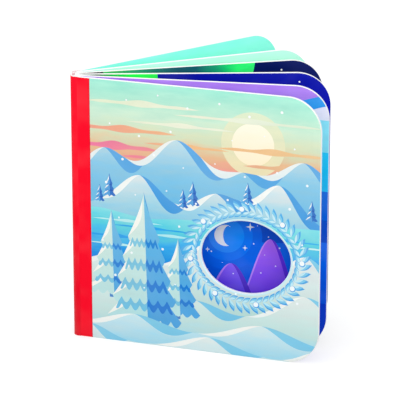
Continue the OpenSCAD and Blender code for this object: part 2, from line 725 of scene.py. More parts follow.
@dataclass(frozen=True)
class Fir:
    """Snow-laden fir of overlapping skirts.

    Attributes:
        x: place of its trunk.
        foot: height of the lowest skirt.
        height: height of the tree.
        width: width of the lowest skirt.
        tiers: number of skirts.
        lobes: number of scallops along each hem.
        taper: share of the width that is lost from the ground to the top.
        stack: share of the height over which the skirts begin.
        skirt_h: height of a skirt as a share of the tree's.
        sweep: how hollow the sides are, where 1 is straight.
        scallop: depth of a scallop as a share of the skirt's height.
        shadow_h: depth of a skirt's shadow as a share of its height.
        shadow_w: width of that shadow as a share of the skirt's.
        split: where the lit half ends, as a share of half the width.
        bank: width of the snow along a side, as a share of half the skirt's.
        bank_taper: share of that width that is lost towards the tip.
        bare_tip: how many of the places along a side have no snow, from the tip.
        stem: half the width of the trunk, as a share of the tree's width.
        trunk_h: reach of the trunk below the lowest skirt, as a share of the tree's height.
    """

    x: float
    foot: float
    height: float
    width: float
    tiers: int = 4
    lobes: int = 5
    taper: float = 0.72
    stack: float = 0.8
    skirt_h: float = 0.48
    sweep: float = 1.4
    scallop: float = 0.1
    shadow_h: float = 0.12
    shadow_w: float = 0.9
    split: float = 0.1
    bank: float = 0.42
    bank_taper: float = 0.6
    bare_tip: int = 3
    stem: float = 0.05
    trunk_h: float = 0.08

    def skirt(self, tier: int) -> tuple[float, float, float]:
        """Size one skirt.

        Args:
            tier: which skirt, from the ground.

        Returns:
            Half its width, its lower edge and its tip.
        """
        share = tier / self.tiers
        half = self.width / 2 * (1 - self.taper * share)
        low = self.foot + self.height * self.stack * share
        return half, low, min(low + self.height * self.skirt_h, self.foot + self.height)

    def side(self, tier: int, sign: int) -> list[Point]:
        """Give the hollow-curved side of a skirt.

        Args:
            tier: which skirt, from the ground.
            sign: 1 for the side towards the fore edge, -1 for the other.

        Returns:
            Places from its corner to its tip.
        """
        half, low, tip = self.skirt(tier)
        return [(self.x + sign * half * (1 - share) ** self.sweep, low + (tip - low) * share)
                for share in span(0.0, 1.0, 16)]

    def hem(self, tier: int, start: float, stop: float, drop: float = 0.0) -> list[Point]:
        """Give the scalloped lower edge of a skirt.

        Args:
            tier: which skirt, from the ground.
            start: where to begin, as a share of half its width.
            stop: where to end.
            drop: how far below the skirt's own edge, as a share of its height.

        Returns:
            Places along the hem.
        """
        half, low, tip = self.skirt(tier)
        found = []
        for share in span(start, stop, 40):
            lobe = self.scallop * abs(math.sin(math.pi * self.lobes * (share + 1) / 2))
            found.append((self.x + half * share, low - (tip - low) * (drop + lobe)))
        return found

    def snow(self, tier: int) -> Outline:
        """Outline the snow along the lit side of a skirt, which thins towards the tip.

        Args:
            tier: which skirt, from the ground.

        Returns:
            The outline.
        """
        widest = self.bank * self.skirt(tier)[0]
        edge = self.side(tier, -1)[:-self.bare_tip]
        inner = []
        for i, (x, z) in enumerate(edge):
            thickness = math.sin(math.pi * i / (len(edge) - 1)) * (1 - self.bank_taper * i / len(edge))
            inner.append((x + SEAM + widest * thickness, z))
        return (*inner, *reversed(edge))

    def grow(self, picture: Picture, inks: FirInks) -> None:
        """Paint the tree from its trunk up.

        Args:
            picture: the design that it goes on.
            inks: what it is painted with.
        """
        left, right = self.x - self.width * self.stem, self.x + self.width * self.stem
        low, high = self.foot - self.height * self.trunk_h, self.foot + self.height * self.trunk_h
        picture.paint(inks.trunk, ((left, low), (right, low), (right, high), (left, high)))
        for tier in range(self.tiers):
            near, far = self.side(tier, -1), self.side(tier, 1)
            tip = far[-1]
            if tier:
                for ink, start, stop in ((inks.lit_shadow, -self.shadow_w, self.split),
                                         (inks.deep_shadow, self.split, self.shadow_w)):
                    picture.paint(ink, (*self.hem(tier, start, stop, self.shadow_h), tip))
            picture.paint(inks.lit, (*self.hem(tier, -1.0, self.split), tip, *reversed(near[1:-1])))
            picture.paint(inks.shaded, (*self.hem(tier, self.split, 1.0), *far[1:]))
            picture.paint(inks.snow, self.snow(tier))


@dataclass(frozen=True)
class BookSizes:
    """Sizes of the book in millimetres and its angles in degrees, the same as in the solids.

    The print, the paper at the folds, the easing of edges and the fineness of curves have no solid.
    """

    height: float
    leaf_l: float = SHEET_L
    leaf_t: float = 2.0
    root_gap: float = 0.6
    corner_r: float = 20.0
    front_angle: float = 18.9
    leaf_angles: tuple[float, ...] = (9.6, -1.5, -12.5, -21.6)
    back_angle: float = -37.0
    window_w: float = 54.0
    window_h: float = 44.0
    window_margin: float = 17.0
    window_z: float = 61.0
    spine_r: float = 4.0
    wrap_t: float = 0.9
    hollow_d: float = 1.5
    glue_w: float = 1.0
    gutter_d: float = 0.5
    head_gap: float = 0.4
    crease_gap: float = 0.3
    cover_room: float = 0.6
    # Print, and the width of the near-black strip of painted gutter shade along the root of the second night
    # pages
    band_w: float = 7.5
    band_lap: float = 0.35
    glue_strip: float = 0.6
    gutter_shade_w: float = 14.8
    # Film over the creases and paper in the gutters: thickness, and reach onto what they join
    film_t: float = 0.5
    film_lap: float = 0.05
    paper_t: float = 0.4
    paper_on_leaf: float = 0.7
    paper_on_cover: float = 0.5
    # Easing of edges
    ease: float = 0.14
    heel_ease: float = 0.05
    fold_ease: float = 0.02
    # Pieces along each round corner, the window, each bend of the wrap and each corner of the hollow
    corner_steps: int = 28
    window_steps: int = 112
    wrap_steps: int = 18
    hollow_steps: int = 8

    @property
    def root_pitch(self) -> float:
        """Distance between the roots of neighbouring inner leaves."""
        return self.leaf_t + self.root_gap

    @property
    def spine_w(self) -> float:
        """Width of the spine over its wrap."""
        block = len(self.leaf_angles) * self.root_pitch - self.root_gap
        return block + 2 * (self.leaf_t + self.cover_room)

    @property
    def heel_w(self) -> float:
        """Width of the glued heel between the round corners of the wrap."""
        return self.spine_w - 2 * self.spine_r

    @property
    def wrap_in_r(self) -> float:
        """Inner radius of the wrap's corners."""
        return self.spine_r - self.wrap_t

    @property
    def root_in(self) -> float:
        """Reach of a leaf behind the line on which it fans."""
        return (self.wrap_in_r - self.hollow_d) / 2

    @property
    def window_x(self) -> float:
        """Place of the oval's centre from the front crease."""
        return self.leaf_l - self.window_margin - self.window_w / 2


def add_object(name: str, data: bpy.types.ID) -> bpy.types.Object:
    """Make an object for a mesh, a lamp or a camera and put it in the scene.

    Args:
        name: name of the object.
        data: what it shows.

    Returns:
        The new object.
    """
    made = bpy.data.objects.new(name, data)
    bpy.context.scene.collection.objects.link(made)
    return made


@dataclass
class MeshDraft:
    """Vertices and faces of one piece, collected before its mesh is made.

    Attributes:
        points: places in millimetres.
        faces: vertex numbers of each face.
        maps: place on the sheet of each corner of each face.
        inks: material number of each face.
        smooth: whether each face is shaded as part of a curve.
        sharp: least angle between two faces that stays a sharp edge, in degrees.
    """

    points: list[Vector] = field(default_factory=list)
    faces: list[list[int]] = field(default_factory=list)
    maps: list[list[Point]] = field(default_factory=list)
    inks: list[int] = field(default_factory=list)
    smooth: list[bool] = field(default_factory=list)
    sharp: float = 50.0

    def add_points(self, points: Iterable[Vector]) -> list[int]:
        """Add points.

        Args:
            points: places in millimetres.

        Returns:
            The number of each point.
        """
        first = len(self.points)
        self.points.extend(points)
        return list(range(first, len(self.points)))

    def add_face(self, corners: Sequence[int], places: Sequence[Point], ink: int, smooth: bool) -> None:
        """Add one face.

        Args:
            corners: its vertex numbers, counter-clockwise from outside.
            places: its corners' places on the sheet.
            ink: number of its material.
            smooth: whether it is shaded as part of a curve.
        """
        self.faces.append(list(corners))
        self.maps.append(list(places))
        self.inks.append(ink)
        self.smooth.append(smooth)

    def make(self, name: str, materials: Sequence[bpy.types.Material]) -> bpy.types.Object:
        """Make the mesh object and put it in the scene.

        Args:
            name: name of the piece.
            materials: materials in the order of their numbers.

        Returns:
            The new object.
        """
        mesh = bpy.data.meshes.new(name)
        mesh.from_pydata([point * MM for point in self.points], [], self.faces)
        for material in materials:
            mesh.materials.append(material)
        layer = mesh.uv_layers.new(name=SHEET_MAP)
        for polygon, places, ink, smooth in zip(mesh.polygons, self.maps, self.inks, self.smooth):
            polygon.material_index = ink
            polygon.use_smooth = smooth
            for corner, place in zip(polygon.loop_indices, places):
                layer.uv[corner].vector = place
        mesh.update()
        mesh.set_sharp_from_angle(angle=math.radians(self.sharp))
        return add_object(name, mesh)


def enlist(piece: bpy.types.Object, body: str, node: str) -> None:
    """Let a piece ride on its body and stand for its solid.

    Args:
        piece: the piece, in its place.
        body: name of the body that it moves with.
        node: name of the solid, which is also the name of its finish in the record.
    """
    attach(piece, body)
    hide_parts(node)
    LOG.info("%s: %d faces on %s", piece.name, len(piece.data.polygons), body)


def around(items: Sequence) -> list[tuple]:
    """Pair each item with the next one, and the last with the first."""
    return list(zip(items, [*items[1:], items[0]]))


def area_of(outline: Sequence[Point]) -> float:
    """Give an outline's area, negative where it runs clockwise."""
    return sum(a[0] * b[1] - b[0] * a[1] for a, b in around(outline)) / 2


def counter_clockwise(outline: Sequence[Point]) -> list[Point]:
    """Give the outline in counter-clockwise order."""
    return list(outline) if area_of(outline) > 0 else list(reversed(outline))


@dataclass
class CutFace:
    """A printed face after it is cut along the edges of its fields.

    Attributes:
        places: every corner on the sheet.
        pieces: corner numbers of each small face.
        inks: which ink of the picture fills it.
        rims: for each loop, the corners along each of its edges, both ends included.
    """

    places: list[Point]
    pieces: list[list[int]]
    inks: list[Ink]
    rims: list[list[list[int]]]

    @classmethod
    def from_picture(cls, picture: Picture, loops: Sequence[Sequence[Point]]) -> "CutFace":
        """Cut a face along its fields.

        Args:
            picture: the design.
            loops: the outline counter-clockwise, then any window clockwise.

        Returns:
            The cut face.
        """
        outlines = [counter_clockwise(loop) for loop in loops]
        outlines += [counter_clockwise(each.outline) for each in picture.fields]
        points, faces = [], []
        for outline in outlines:
            faces.append(list(range(len(points), len(points) + len(outline))))
            points.extend(Vector(point) for point in outline)
        places, _, pieces, sources, _, owners = delaunay_2d_cdt(points, [], faces, 1, CUT_TOLERANCE)
        kept, inks = [], []
        for piece, owner in zip(pieces, owners):
            if 0 not in owner or any(hole in owner for hole in range(1, len(loops))):
                continue
            kept.append(list(piece))
            top = max(owner) - len(loops)
            inks.append(picture.fields[top].ink if top >= 0 else picture.ground)
        used = sorted({corner for piece in kept for corner in piece})
        number = {corner: i for i, corner in enumerate(used)}
        kept = [[number[corner] for corner in piece] for piece in kept]
        found = {old: number[new] for new, olds in enumerate(sources) if new in number for old in olds}
        edges = {edge for piece in kept for edge in around(piece)}
        ahead = {a: b for a, b in edges if (b, a) not in edges}
        rims = []
        for loop, face in zip(loops, faces):
            corners = [found[point] for point in face]
            if area_of(loop) < 0:
                corners.reverse()
            rims.append([cls.walk(ahead, a, b) for a, b in around(corners)])
        return cls([tuple(places[corner]) for corner in used], kept, inks, rims)

    @staticmethod
    def walk(ahead: dict[int, int], start: int, stop: int) -> list[int]:
        """Follow the open edge of the face.

        Args:
            ahead: the next corner after each one along the edge.
            start: first corner.
            stop: last corner.

        Returns:
            The corners from first to last.
        """
        path = [start]
        while path[-1] != stop:
            path.append(ahead[path[-1]])
        return path


def arc(centre: Point, radius: float, start: float, stop: float, steps: int) -> list[Point]:
    """Give places along an arc.

    Args:
        centre: centre of the arc.
        radius: its radius.
        start: first direction in degrees.
        stop: last direction in degrees.
        steps: number of pieces.

    Returns:
        The places, both ends included.
    """
    turns = span(math.radians(start), math.radians(stop), steps)
    return [(centre[0] + radius * math.cos(turn), centre[1] + radius * math.sin(turn)) for turn in turns]


@dataclass
class Board:
    """One stiff leaf with two printed faces, eased edges and bare walls.

    Attributes:
        name: name of the piece.
        sizes: sizes of the book.
        root: place of its root line, in plan.
        angle: its angle towards the reader in degrees.
        reach: where it starts and ends along its own length.
        faces: where its front and back faces lie across its thickness.
        recto: design of the face towards the reader.
        verso: design of the other face.
        root_ink: ink that runs over one edge of its root, where it has one.
        root_edge: that edge, 0 beside the front face and 1 beside the back face.
        has_window: whether the oval is cut through it.
    """

    name: str
    sizes: BookSizes
    root: Point
    angle: float
    reach: Point
    faces: Point
    recto: Picture
    verso: Picture
    root_ink: Ink | None = None
    root_edge: int = 0
    has_window: bool = False

    def point(self, along: float, across: float, z: float = 0.0) -> Vector:
        """Give a place on the board in the part's frame.

        Args:
            along: distance from its root line, in millimetres.
            across: distance across its thickness.
            z: height.

        Returns:
            The place in millimetres.
        """
        turn = math.radians(self.angle)
        return Vector((self.root[0] + along * math.cos(turn) + across * math.sin(turn),
                       self.root[1] - along * math.sin(turn) + across * math.cos(turn), z))

    def loops(self, inset: float) -> list[list[Point]]:
        """Outline the board and its window, starting with its root.

        Args:
            inset: how far the board's edge lies inside its full outline, except at the root.

        Returns:
            The outline counter-clockwise, then the window clockwise if there is one.
        """
        size = self.sizes
        near, far = self.reach
        outer = [(near, size.height - inset), (near, inset)]
        for turn, centre_z in ((-90.0, size.corner_r), (0.0, size.height - size.corner_r)):
            centre = (far - size.corner_r, centre_z)
            outer += arc(centre, size.corner_r - inset, turn, turn + 90.0, size.corner_steps)
        if not self.has_window:
            return [outer]
        half_w, half_h = size.window_w / 2 + inset, size.window_h / 2 + inset
        hole = oval(size.window_x, size.window_z, half_w, half_h, size.window_steps)
        return [outer, list(reversed(hole))]

    def sections(self) -> list[Point]:
        """Set out the rings between the two faces.

        Returns:
            The inset and the depth of each ring.
        """
        front, back = self.faces
        ease, half = self.sizes.ease, self.sizes.ease * (1 - math.sqrt(0.5))
        return [(half, front + half), (0.0, front + ease), (0.0, back - ease), (half, back - half)]

    def build(self) -> bpy.types.Object:
        """Build the board as one closed mesh.

        Returns:
            The new piece.
        """
        draft = MeshDraft()
        inks = list(dict.fromkeys([*self.recto.inks(), *self.verso.inks()]))
        number = {ink: i + 1 for i, ink in enumerate(inks)}
        flat = self.loops(self.sizes.ease)
        fronts = self.lay_face(draft, CutFace.from_picture(self.recto, flat), self.faces[0], number, False)
        backs = self.lay_face(draft, CutFace.from_picture(self.verso, flat), self.faces[1], number, True)
        sections = self.sections()
        rings = [[draft.add_points(self.point(x, depth, z) for x, z in loop) for loop in self.loops(inset)]
                 for inset, depth in sections]
        depths = [depth - self.faces[0] for _, depth in sections]
        film = number.get(self.root_ink, 0)
        roots = [0, 0, 0, film, film] if self.root_edge else [film, film, 0, 0, 0]
        for k, loop in enumerate(flat):
            self.wall(draft, loop, fronts[k], backs[k], [ring[k] for ring in rings], depths,
                      [0] * len(roots) if k else roots)
        edge = CutBoard(thickness=self.sizes.leaf_t)
        return draft.make(self.name, [edge.material(), *(ink.material() for ink in inks)])

    def lay_face(self, draft: MeshDraft, face: CutFace, depth: float, number: dict[Ink, int],
                 turned: bool) -> list[list[list[int]]]:
        """Add a printed face to the draft.

        Args:
            draft: the board's draft.
            face: the cut face.
            depth: where it lies across the thickness.
            number: material number of each ink.
            turned: whether it looks away from the reader.

        Returns:
            For each loop, the draft's vertex numbers along each of its edges.
        """
        ids = draft.add_points(self.point(x, depth, z) for x, z in face.places)
        for piece, ink in zip(face.pieces, face.inks):
            corners = list(reversed(piece)) if turned else piece
            draft.add_face([ids[i] for i in corners], [face.places[i] for i in corners], number[ink], False)
        return [[[ids[i] for i in edge] for edge in rim] for rim in face.rims]

    def wall(self, draft: MeshDraft, loop: Sequence[Point], front_rim: list[list[int]],
             back_rim: list[list[int]], rings: list[list[int]], depths: list[float],
             roots: list[int]) -> None:
        """Add the wall along one loop, from the front face over the rings to the back face.

        Args:
            draft: the board's draft.
            loop: the loop's places on the sheet.
            front_rim: the front face's vertex numbers along each edge of the loop.
            back_rim: the back face's vertex numbers along each edge.
            rings: numbers of each ring's points.
            depths: depth of each ring below the front face.
            roots: material numbers down the loop's first edge, from the front face to the back face.
        """
        thickness = self.faces[1] - self.faces[0]
        start = 0.0
        for i, (here, there) in enumerate(around(loop)):
            j = (i + 1) % len(loop)
            inks = [0] * len(roots) if i else roots
            stop = start + math.dist(here, there)
            first = [(place, 0.0) for place in span(stop, start, len(front_rim[i]) - 1)]
            last = [(place, thickness) for place in span(start, stop, len(back_rim[i]) - 1)]
            draft.add_face([*reversed(front_rim[i]), rings[0][i], rings[0][j]],
                           [*first, (start, depths[0]), (stop, depths[0])], inks[0], True)
            for near, far, d0, d1, ink in zip(rings, rings[1:], depths, depths[1:], inks[1:]):
                draft.add_face([near[j], near[i], far[i], far[j]],
                               [(stop, d0), (start, d0), (start, d1), (stop, d1)], ink, True)
            draft.add_face([rings[-1][j], rings[-1][i], *back_rim[i]],
                           [(stop, depths[-1]), (start, depths[-1]), *last], inks[-1], True)
            start = stop


@dataclass
class Prism:
    """Upright solid with one section along its whole height and eased ends.

    Attributes:
        name: name of the piece.
        section: its outline in plan, counter-clockwise.
        high: height of its upper end, above the lower one at the floor.
        ease: depth of the easing at both ends.
    """

    name: str
    section: list[Point]
    high: float
    ease: float

    def ring(self, inset: float, z: float) -> list[Vector]:
        """Give the section at one height.

        Args:
            inset: how far it is drawn in.
            z: the height.

        Returns:
            The places of its corners.
        """
        found = []
        for before, here, after in zip([self.section[-1], *self.section], self.section,
                                       [*self.section[1:], self.section[0]]):
            first = (Vector(here) - Vector(before)).normalized()
            second = (Vector(after) - Vector(here)).normalized()
            inward = Vector((-first.y - second.y, first.x + second.x))
            step = inward * (inset * 2 / max(inward.length_squared, 0.5))
            found.append(Vector((here[0] + step.x, here[1] + step.y, z)))
        return found

    def build(self, dress: Callable[[int], int], materials: Sequence[bpy.types.Material]) -> bpy.types.Object:
        """Build the prism as one closed mesh.

        Args:
            dress: gives the material number for each side of the section, and for ENDS that of its two ends.
            materials: materials in the order of their numbers.

        Returns:
            The new piece.
        """
        draft = MeshDraft()
        levels = [(self.ease, 0.0), (0.0, self.ease), (0.0, self.high - self.ease), (self.ease, self.high)]
        rings = [draft.add_points(self.ring(inset, z)) for inset, z in levels]
        start = 0.0
        for i, (here, there) in enumerate(around(self.section)):
            j = (i + 1) % len(self.section)
            stop = start + math.dist(here, there)
            for lower, upper, (_, z0), (_, z1) in zip(rings, rings[1:], levels, levels[1:]):
                draft.add_face([lower[i], lower[j], upper[j], upper[i]],
                               [(start, z0), (stop, z0), (stop, z1), (start, z1)], dress(i), True)
            start = stop
        draft.add_face(list(reversed(rings[0])), list(reversed(self.section)), dress(ENDS), False)
        draft.add_face(rings[-1], self.section, dress(ENDS), False)
        return draft.make(self.name, materials)


@dataclass
class Spine:
    """Red wrap over the spine and the glued heel of the leaves behind it.

    Attributes:
        sizes: sizes of the book.
        film: ink of the wrap's outside.
    """

    sizes: BookSizes
    film: Ink

    def skin(self, radius: float) -> list[Point]:
        """Give one face of the wrap in plan, from the back crease round both long corners to the front one.

        Args:
            radius: radius of the face at the corners.

        Returns:
            Places along it.
        """
        size = self.sizes
        cut = math.degrees(math.asin(size.crease_gap / 2 / radius))
        half = size.heel_w / 2
        return [*arc((0.0, half), radius, 90.0 + cut, 180.0, size.wrap_steps),
                *arc((0.0, -half), radius, 180.0, 270.0 - cut, size.wrap_steps)]

    def wrap(self) -> None:
        """Build the wrap, red outside, bare at its ends, and inside a pinkish grey that is painted shade
        tinted by the red.
        """
        size = self.sizes
        outer = self.skin(size.spine_r)
        section = [*outer, *reversed(self.skin(size.wrap_in_r))]
        board = CutBoard("wrap_board", size.wrap_t)
        # Inside of the wrap: white board darkened and pinked as painted shade with the red's light in it.
        red_tinted_shade = CutBoard("wrap_inside_shade", size.wrap_t, (242, 218, 222), (226, 196, 202))
        shaded_inside = range(len(outer), len(section) - 1)

        def dress(side: int) -> int:
            """Give the film outside, the board at the ends and the painted red-tinted shade inside."""
            return 1 if side == ENDS else 2 if side in shaded_inside else 0

        prism = Prism("spine_wrap_shell", section, size.height, size.ease)
        made = prism.build(dress, [self.film.material(), board.material(), red_tinted_shade.material()])
        enlist(made, "block", "spine_wrap")

    def heel(self) -> None:
        """Build the glued heel with the hollow behind it."""
        size = self.sizes
        half, hollow, corner = size.heel_w / 2, size.heel_w / 2 - size.glue_w, size.hollow_d / 2
        back, floor = -size.wrap_in_r, size.hollow_d - size.wrap_in_r
        groove = [(back, hollow)]
        for side, start, stop in ((1, 90.0, 0.0), (-1, 0.0, -90.0)):
            groove += arc((floor - corner, side * (hollow - corner)), corner, start, stop, size.hollow_steps)
        groove.append((back, -hollow))
        section = [(back, -half), (size.gutter_d, -half), (size.gutter_d, half), (back, half), *groove]
        roots = CutBoard("glued_roots", size.heel_w)
        # Walls of the hollow: white board darkened and pinked as painted shade with the red's light in it.
        red_tinted_shade = CutBoard("hollow_shade", size.heel_w, (236, 208, 212), (214, 182, 188))
        walls = range(len(section) - len(groove), len(section) - 1)
        prism = Prism("glued_heel", section, size.height - size.head_gap, size.heel_ease)
        made = prism.build(lambda side: int(side in walls), [roots.material(), red_tinted_shade.material()])
        enlist(made, "block", "page_block")


class Side(Enum):
    """Cover that a fold belongs to: the name of its body, and its sign across the book."""

    FRONT = ("front", -1)
    BACK = ("back", 1)

    @property
    def body(self) -> str:
        """Name of the cover's body."""
        return self.value[0]

    @property
    def sign(self) -> int:
        """Where the cover lies across the book."""
        return self.value[1]

    def facing(self, faces: Point) -> float:
        """Give the one of a board's two faces that lies on this side of it."""
        return faces[self is Side.BACK]

    def turned_from(self, faces: Point) -> float:
        """Give the other face."""
        return faces[self is Side.FRONT]


class Face(Enum):
    """Face of a strip that carries the print: along its own line, or the one its thickness reaches to."""

    LINE = "line"
    FAR = "far"


@dataclass
class Fold:
    """Strip of paper that bends between the block and a cover.

    Attributes:
        name: name of the piece.
        side: which cover it runs to.
        start: its edge on the block, in plan.
        end: its edge on the cover, in plan.
        thickness: its thickness, laid on the block's side of the line from start to end.
        height: its height.
        ease: depth of the easing at its ends.
        ink: its print.
        face: the face that is printed, while the other is bare.
        node: the solid whose finish it would share; not used.
        steps: number of narrow strips that it bends in.
    """

    name: str
    side: Side
    start: Vector
    end: Vector
    thickness: float
    height: float
    ease: float
    ink: Ink
    face: Face
    node: str
    steps: int = 12

    def build(self) -> None:
        """Build the strip in narrow steps."""
        start, end = self.start, self.end
        ahead = (end - start).normalized()
        inward = Vector((-ahead.y, ahead.x)) * -self.side.sign * self.thickness
        outer = [start.lerp(end, share) for share in span(0.0, 1.0, self.steps)]
        inner = [point + inward for point in reversed(outer)]
        outline = [tuple(point) for point in (*outer, *inner)]
        first = 0 if (area_of(outline) > 0) == (self.face is Face.LINE) else self.steps + 1
        printed = range(first, first + self.steps)
        paper = CutBoard("fold_paper", self.thickness)
        prism = Prism(self.name, counter_clockwise(outline), self.height, self.ease)
        made = prism.build(lambda side: int(side not in printed), [self.ink.material(), paper.material()])
        self.side.body
        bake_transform(made)
        LOG.info("%s: bends between block and %s", made.name, self.side.body)


class Designs:
    """The book's designs: winter hills outside and evening, night and morning hills inside."""

    def __init__(self, sizes: BookSizes) -> None:
        """Keep the sizes and mix the inks that several designs share.

        Args:
            sizes: sizes of the book.
        """
        self.sizes = sizes
        self.red = Ink("red_film", (RED, (250, 10, 40)), wander=20, mottle=0.025, stroke=(30, 60))
        self.dark_red = Ink("red_overprint", ((206, 16, 42), (200, 14, 40)), wander=20, mottle=0.03)
        self.flake = wash_down("snow_flake", SHEET_H, 0, (250, 252, 252), (240, 248, 250), mottle=CALM)
        tip = 104
        trunk = wash_down("fir_trunk", 60, 0, (96, 150, 206), (70, 128, 196))
        night_trunk = wash_down("night_fir_trunk", 60, 0, (8, 44, 150), (4, 34, 136))
        self.fir = FirInks.mix(
            "fir", (tip, 0), trunk, ((250, 250, 242), (242, 244, 236)),
            lit=((230, 241, 232), (200, 230, 224), (170, 220, 226)),
            shaded=((136, 204, 230), (96, 176, 226), (74, 158, 220)),
            lit_shadow=((158, 212, 224), (128, 198, 224), (110, 190, 226)),
            deep_shadow=((76, 158, 220), (50, 132, 212), (36, 116, 206)))
        self.far_fir = FirInks.mix(
            "far_fir", (tip, 60), trunk, ((246, 248, 244), (232, 240, 240)),
            lit=((96, 166, 222), (84, 158, 220)), shaded=((58, 118, 198), (48, 108, 192)),
            lit_shadow=((74, 144, 212), (66, 136, 208)), deep_shadow=((44, 96, 180), (38, 88, 174)))
        self.night_fir = FirInks.mix(
            "night_fir", (tip, 10), night_trunk, ((206, 232, 252), (170, 214, 250)),
            lit=((66, 156, 240), (40, 124, 230)), shaded=((18, 84, 206), (10, 62, 190)),
            lit_shadow=((34, 112, 222), (20, 88, 210)), deep_shadow=((8, 56, 180), (4, 40, 164)))

    def strip(self, picture: Picture, ink: Ink, width: float, margin: float = 1.0) -> None:
        """Paint an upright strip along the root, longer than the sheet by a margin at both ends."""
        low, high = -margin, self.sizes.height + margin
        picture.paint(ink, ((-2 * margin, low), (width, low), (width, high), (-2 * margin, high)))

    def band(self, picture: Picture) -> None:
        """Paint the red band along the crease, darker where it overprints the picture's edge."""
        self.strip(picture, self.dark_red, self.sizes.band_w)
        self.strip(picture, self.red, self.sizes.band_w - self.sizes.band_lap)

    def sky(self, picture: Picture) -> None:
        """Paint the clouds and the sun of the outer design.

        Args:
            picture: the design that they go on.
        """
        halo = wash_down("sun_halo", 150, 108, (222, 238, 206), (238, 222, 180))
        sun = wash_down("sun", 140, 116, (255, 250, 228), (255, 238, 204), mottle=CALM)
        cream = wash_out("cloud_cream", 0, SHEET_L, (226, 236, 206), (238, 240, 218), (220, 236, 212))
        rose = wash_out("cloud_rose", 0, 120, PINK, CORAL, PEACH)
        amber = wash_out("cloud_amber", 0, SHEET_L, (240, 160, 140), (240, 190, 140), (236, 200, 150))
        picture.paint(halo, disc(106, 129, 19))
        picture.paint(sun, disc(106, 129, 12.5))
        picture.streaks(cream, (4, 74, 146, 4.2), (58, 150, 142, 3.4), (30, 96, 135.5, 3))
        picture.streaks(amber, (-4, 60, 130, 4.6), (84, 152, 125, 4), (40, 92, 123.5, 3))
        picture.streaks(rose, (-6, 50, 119.5, 5.5), (26, 84, 114.5, 4), (100, 152, 116, 4.2))

    def hills(self, picture: Picture) -> None:
        """Paint the two far lines of hills and their small firs.

        Args:
            picture: the design that they go on.
        """
        far = Ridge(99, ((16, 19, 17), (60, 28, 22), (100, 11, 18), (136, 22, 20)))
        mid = Ridge(83, ((38, 20, 18), (84, 15, 18), (122, 22, 17)), swell=1.5)
        lines = (
            (far, "far_hill", 127, 90, ((196, 224, 232), (142, 202, 230), (112, 188, 228)),
             ((106, 174, 228), (92, 168, 224)), ((240, 244, 241), (216, 232, 235))),
            (mid, "mid_hill", 106, 72, ((228, 236, 236), (172, 216, 230), (112, 194, 228)),
             ((88, 166, 226), (72, 152, 220)), ((248, 249, 244), (232, 241, 240))),
        )
        for ridge, name, high, low, body, dark, pale in lines:
            shade = wash_down(name + "_shade", high, low, *dark)
            light = wash_down(name + "_light", high, low, *pale)
            picture.hill_line(ridge, wash_down(name, high, low, *body), (1, shade, 8, 1.7),
                              (-1, light, 4.5, 1.4))
        for x, height in ((13, 10), (19, 13), (64, 11), (70, 14), (103, 12), (141, 12)):
            picture.plant(self.far_fir,
                          Fir(x, mid.top(x) - 1, height, width=height * 0.6, tiers=3, lobes=3))

    def lake(self, picture: Picture) -> None:
        """Paint the frozen lake between the hills and the near drifts.

        Args:
            picture: the design that it goes on.
        """
        shore = Ridge(81, ((50, -3, 20), (120, 2, 24)), swell=0.8, period=46)
        water = wash_down("lake", 82, 44, (140, 226, 232), CYAN, SKY_BLUE, (30, 140, 224), DEEP_BLUE)
        gleam = wash_out("lake_gleam", 0, SHEET_L, (196, 238, 236), (170, 230, 238), (206, 240, 238),
                         mottle=SNOWY)
        deep = wash_out("lake_deep", 0, SHEET_L, (44, 158, 232), (60, 176, 236))
        picture.paint(water, shore.body())
        picture.streaks(gleam, (8, 52, 75, 1.8), (70, 120, 76, 1.6), (110, 150, 70.5, 2.2),
                        (30, 84, 68.5, 1.8), (4, 46, 60, 1.6))
        picture.streaks(deep, (20, 70, 72, 1.9), (96, 150, 73.6, 1.8), (2, 44, 65, 2.6))

    def wreath(self, picture: Picture) -> None:
        """Paint a wreath of frosted twigs with berries around the window.

        Args:
            picture: the design that it goes on.
        """
        size = self.sizes
        half_w, half_h = size.window_w / 2, size.window_h / 2
        ring_out, berry_out, rim_w = 5.6, 6.8, 1.2
        twig_count, twigs_to_a_berry = 46, 6
        ring_w, ring_h = half_w + ring_out, half_h + ring_out

        def foot(turn: float, out: float) -> Point:
            """Give a place outside the window's edge."""
            across, up = (half_w + out) * math.cos(turn), (half_h + out) * math.sin(turn)
            return size.window_x + across, size.window_z + up

        tones = {"pale": ((206, 236, 244), (186, 230, 242)), "middle": ((142, 210, 238), (122, 198, 234)),
                 "deep": ((94, 178, 232), (74, 160, 226))}
        frost = {tone: wash_down("frost_" + tone, 95, 25, *colours) for tone, colours in tones.items()}
        rim = wash_down("frost_rim", 95, 25, (214, 238, 244), (196, 232, 242), mottle=CALM)
        spots = even_round(ring_w, ring_h, twig_count)
        twigs = (("deep", 8.4, 2.6), ("middle", 7.4, 2.3), ("pale", 5.6, 1.3))
        for layer, (tone, length, width) in enumerate(twigs):
            lean_out, lean_in = 0.9 - 0.12 * layer, 0.62 - 0.1 * layer
            for turn in spots:
                heading = math.atan2(ring_h * math.cos(turn), -ring_w * math.sin(turn))
                at = foot(turn, ring_out)
                picture.paint(frost[tone], petal(*at, length, width, heading - lean_out),
                              petal(*at, length * 0.72, width, heading + lean_in))
        for turn in spots[::twigs_to_a_berry]:
            x, z = foot(turn, berry_out)
            picture.paint(frost["deep"], disc(x, z, 1.9, BERRY_STEPS))
            picture.paint(self.flake, disc(x - 0.2, z + 0.25, 1.5, BERRY_STEPS))
        around_window = (size.window_x, size.window_z, half_w + rim_w, half_h + rim_w)
        picture.paint(rim, oval(*around_window, size.window_steps))

